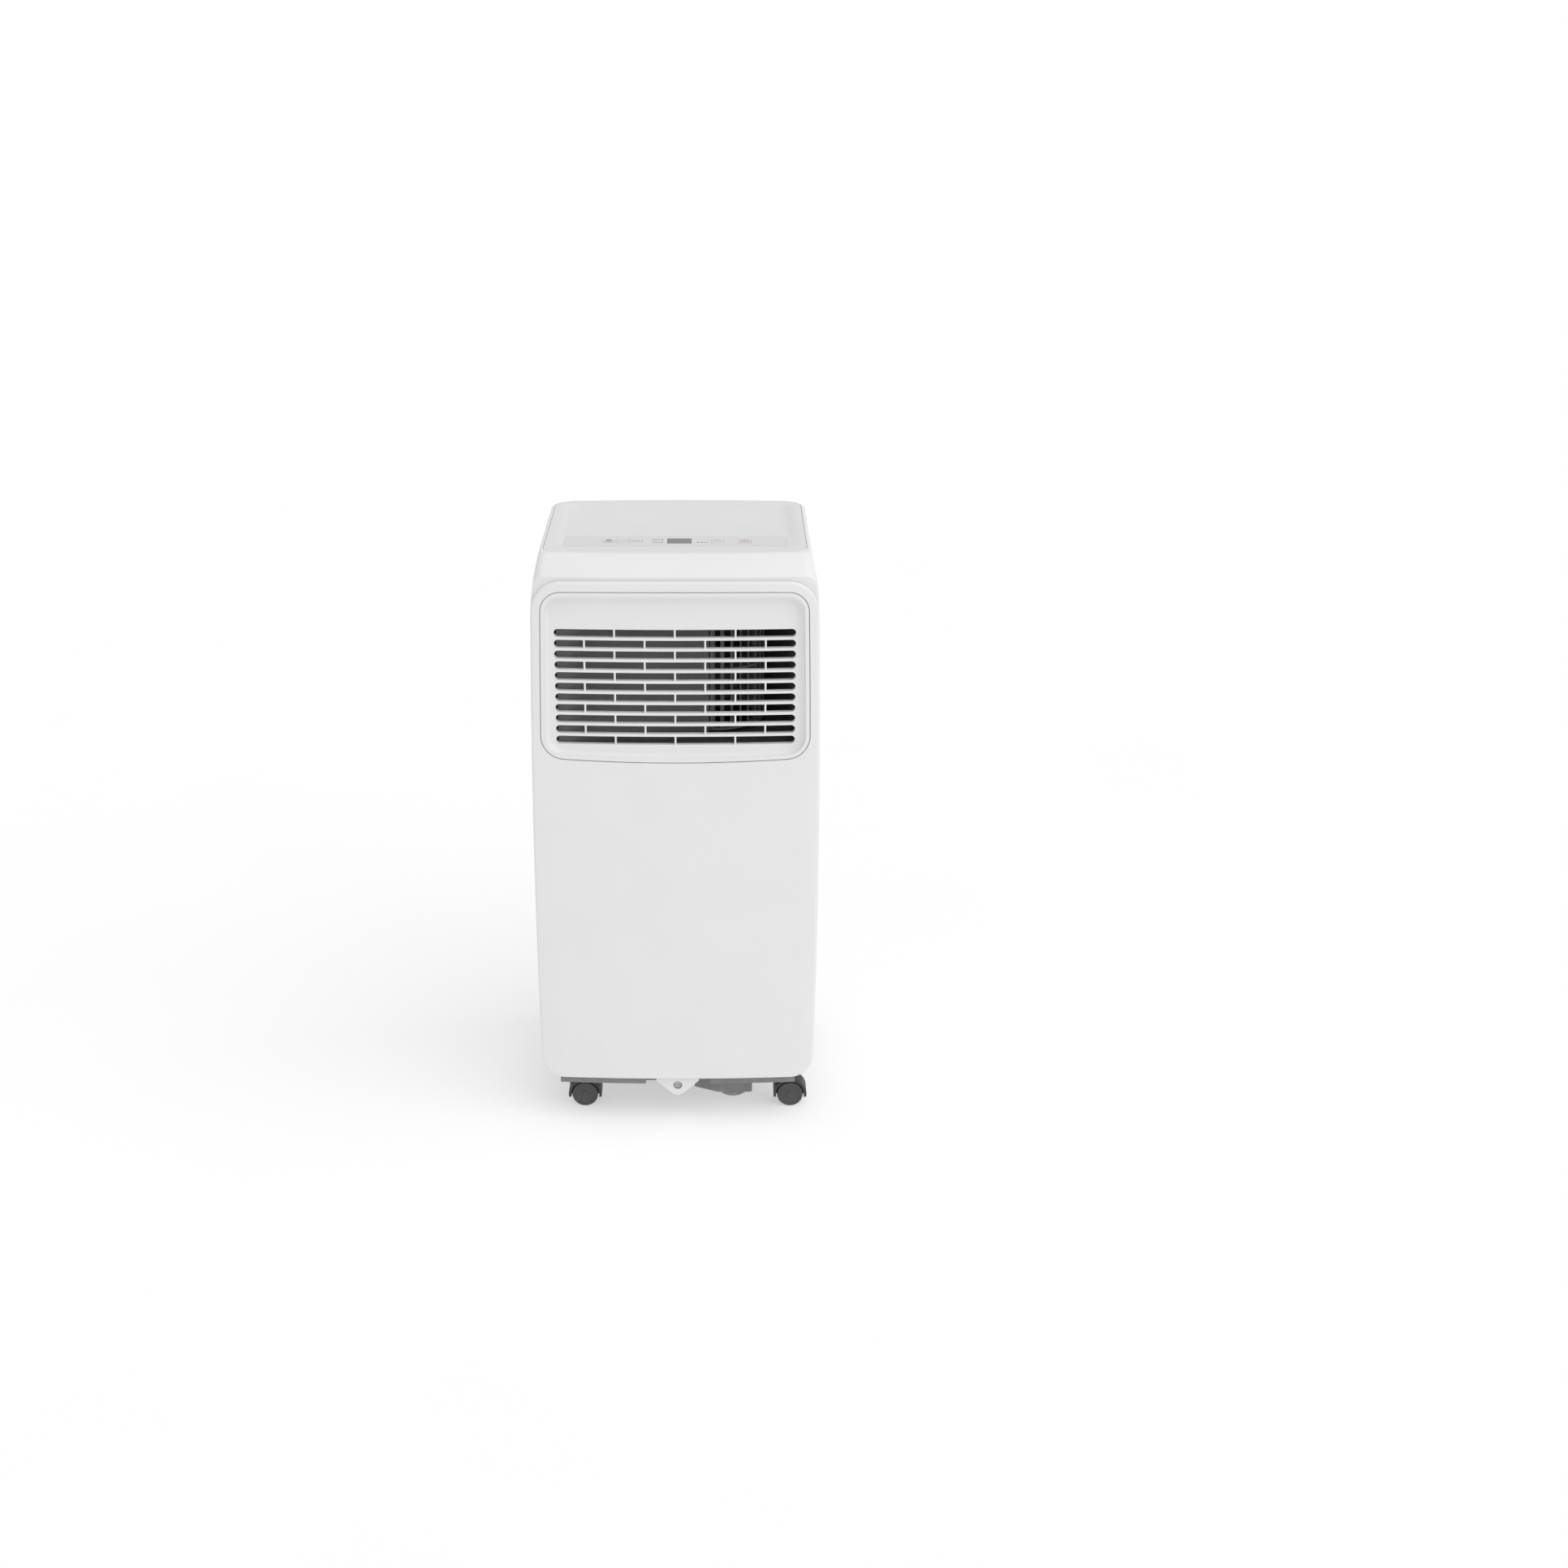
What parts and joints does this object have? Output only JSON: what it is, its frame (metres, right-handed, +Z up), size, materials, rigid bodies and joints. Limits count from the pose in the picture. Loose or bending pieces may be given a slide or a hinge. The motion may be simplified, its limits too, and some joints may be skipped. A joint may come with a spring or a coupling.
{
  "type": "portable air conditioner",
  "caption": "Compact upright portable air conditioner with a slotted front outlet, top control strip, side grips, rear filters, round exhaust collar and twin-wheel casters.",
  "frame": {"origin": "on the floor under the middle of the bounding box", "axes": "+Z up, front outlet faces -Y, +X to the right when the front is seen"},
  "size_m": [0.3372, 0.31, 0.706],
  "materials": {
    "white_shell": "fine satin texture",
    "white_deck": "fine satin texture",
    "pale_strip": "satin printed film",
    "display_glass": "dark smoked window",
    "board_green": "solder mask",
    "grey_pan": "moulded",
    "dark_plastic": "moulded",
    "tread": "moulded nylon",
    "collar_plastic": "satin",
    "screw_steel": "zinc plated",
    "foam_grey": "moulded",
    "motor_steel": "dull",
    "fin_aluminium": "thin sheet",
    "copper": "drawn tube",
    "compressor_black": "semi-gloss",
    "mount_rubber": "soft",
    "mesh_net": "woven net"
  },
  "bodies": {
    "casing": {"accumulator": "compressor_black", "base_pan": "grey_pan", "body_shell": "white_shell", "compressor": "compressor_black", "compressor_mounts": "mount_rubber", "condensate_tray": "foam_grey", "condenser_fins": "fin_aluminium", "condenser_tubes": "copper", "control_board": "board_green", "control_overlay": "pale_strip", "cord_gland": "dark_plastic", "discharge_line": "copper", "display_window": "display_glass", "electrical_box": "foam_grey", "evaporator_fins": "fin_aluminium", "evaporator_tubes": "copper", "exhaust_collar": "collar_plastic", "front_panel": "white_shell", "front_screw": "screw_steel", "handle_left": "white_shell", "handle_right": "white_shell", "liquid_line": "copper", "lower_fan_motor": "motor_steel", "lower_volute": "foam_grey", "lower_volute_cover": "foam_grey", "outlet_grille": "white_shell", "rear_panel": "white_shell", "rear_screws": "screw_steel", "suction_line": "copper", "top_deck": "white_deck", "upper_fan_motor": "motor_steel", "upper_volute": "foam_grey", "upper_volute_lid": "foam_grey"},
    "caster_front_left": {"caster_hood_front_left": "dark_plastic"},
    "wheel_front_left_a": {"caster_wheel_front_left_a": "tread"},
    "wheel_front_left_b": {"caster_wheel_front_left_b": "tread"},
    "caster_front_right": {"caster_hood_front_right": "dark_plastic"},
    "wheel_front_right_a": {"caster_wheel_front_right_a": "tread"},
    "wheel_front_right_b": {"caster_wheel_front_right_b": "tread"},
    "caster_rear_left": {"caster_hood_rear_left": "dark_plastic"},
    "wheel_rear_left_a": {"caster_wheel_rear_left_a": "tread"},
    "wheel_rear_left_b": {"caster_wheel_rear_left_b": "tread"},
    "caster_rear_right": {"caster_hood_rear_right": "dark_plastic"},
    "wheel_rear_right_a": {"caster_wheel_rear_right_a": "tread"},
    "wheel_rear_right_b": {"caster_wheel_rear_right_b": "tread"},
    "upper_blower": {"upper_blower_wheel": "dark_plastic", "upper_fan_shaft": "screw_steel"},
    "lower_blower": {"lower_blower_wheel": "dark_plastic", "lower_fan_shaft": "screw_steel"},
    "upper_filter": {"upper_filter_frame": "white_shell", "upper_filter_mesh": "mesh_net"},
    "upper_drain_cap": {"drain_cap_upper": "grey_pan"},
    "lower_filter": {"lower_filter_frame": "white_shell", "lower_filter_mesh": "mesh_net"},
    "lower_drain_cap": {"drain_cap_lower": "grey_pan"},
    "mode_key": {"key_mode": "pale_strip"},
    "fan_key": {"key_fan": "pale_strip"},
    "down_key": {"key_down": "pale_strip"},
    "up_key": {"key_up": "pale_strip"},
    "power_key": {"key_power": "pale_strip"}
  },
  "joints": [
    {"name": "swivel_front_left", "type": "hinge", "parent": "casing", "child": "caster_front_left", "pos_m": [-0.127, -0.107, 0.05], "axis": [0, 0, 1], "continuous": true},
    {"name": "roll_front_left_a", "type": "hinge", "parent": "caster_front_left", "child": "wheel_front_left_a", "pos_m": [-0.1154, -0.107, 0.016], "axis": [0, 1, 0], "continuous": true},
    {"name": "roll_front_left_b", "type": "hinge", "parent": "caster_front_left", "child": "wheel_front_left_b", "pos_m": [-0.1154, -0.107, 0.016], "axis": [0, 1, 0], "continuous": true},
    {"name": "swivel_front_right", "type": "hinge", "parent": "casing", "child": "caster_front_right", "pos_m": [0.127, -0.107, 0.05], "axis": [0, 0, 1], "continuous": true},
    {"name": "roll_front_right_a", "type": "hinge", "parent": "caster_front_right", "child": "wheel_front_right_a", "pos_m": [0.1386, -0.107, 0.016], "axis": [0, 1, 0], "continuous": true},
    {"name": "roll_front_right_b", "type": "hinge", "parent": "caster_front_right", "child": "wheel_front_right_b", "pos_m": [0.1386, -0.107, 0.016], "axis": [0, 1, 0], "continuous": true},
    {"name": "swivel_rear_left", "type": "hinge", "parent": "casing", "child": "caster_rear_left", "pos_m": [-0.127, 0.107, 0.05], "axis": [0, 0, 1], "continuous": true},
    {"name": "roll_rear_left_a", "type": "hinge", "parent": "caster_rear_left", "child": "wheel_rear_left_a", "pos_m": [-0.1154, 0.107, 0.016], "axis": [0, 1, 0], "continuous": true},
    {"name": "roll_rear_left_b", "type": "hinge", "parent": "caster_rear_left", "child": "wheel_rear_left_b", "pos_m": [-0.1154, 0.107, 0.016], "axis": [0, 1, 0], "continuous": true},
    {"name": "swivel_rear_right", "type": "hinge", "parent": "casing", "child": "caster_rear_right", "pos_m": [0.127, 0.107, 0.05], "axis": [0, 0, 1], "continuous": true},
    {"name": "roll_rear_right_a", "type": "hinge", "parent": "caster_rear_right", "child": "wheel_rear_right_a", "pos_m": [0.1386, 0.107, 0.016], "axis": [0, 1, 0], "continuous": true},
    {"name": "roll_rear_right_b", "type": "hinge", "parent": "caster_rear_right", "child": "wheel_rear_right_b", "pos_m": [0.1386, 0.107, 0.016], "axis": [0, 1, 0], "continuous": true},
    {"name": "upper_blower_spin", "type": "hinge", "parent": "casing", "child": "upper_blower", "pos_m": [0.0427, -0.035, 0.559], "axis": [0, 0, 1], "continuous": true},
    {"name": "lower_blower_spin", "type": "hinge", "parent": "casing", "child": "lower_blower", "pos_m": [0.052, 0.039, 0.19], "axis": [0, 1, 0], "continuous": true},
    {"name": "upper_filter_pull", "type": "slide", "parent": "casing", "child": "upper_filter", "axis": [0, 1, 0], "range_m": [0, 0.06]},
    {"name": "upper_drain_cap_pull", "type": "slide", "parent": "casing", "child": "upper_drain_cap", "axis": [0, 1, 0], "range_m": [0, 0.02]},
    {"name": "lower_filter_pull", "type": "slide", "parent": "casing", "child": "lower_filter", "axis": [0, 1, 0], "range_m": [0, 0.06]},
    {"name": "lower_drain_cap_pull", "type": "slide", "parent": "casing", "child": "lower_drain_cap", "axis": [0, 1, 0], "range_m": [0, 0.02]},
    {"name": "mode_key_press", "type": "slide", "parent": "casing", "child": "mode_key", "axis": [0, 0, -1], "range_m": [0, 0.0005], "stiffness_N_per_m": 1000},
    {"name": "fan_key_press", "type": "slide", "parent": "casing", "child": "fan_key", "axis": [0, 0, -1], "range_m": [0, 0.0005], "stiffness_N_per_m": 1000},
    {"name": "down_key_press", "type": "slide", "parent": "casing", "child": "down_key", "axis": [0, 0, -1], "range_m": [0, 0.0005], "stiffness_N_per_m": 1000},
    {"name": "up_key_press", "type": "slide", "parent": "casing", "child": "up_key", "axis": [0, 0, -1], "range_m": [0, 0.0005], "stiffness_N_per_m": 1000},
    {"name": "power_key_press", "type": "slide", "parent": "casing", "child": "power_key", "axis": [0, 0, -1], "range_m": [0, 0.0005], "stiffness_N_per_m": 1000}
  ]
}
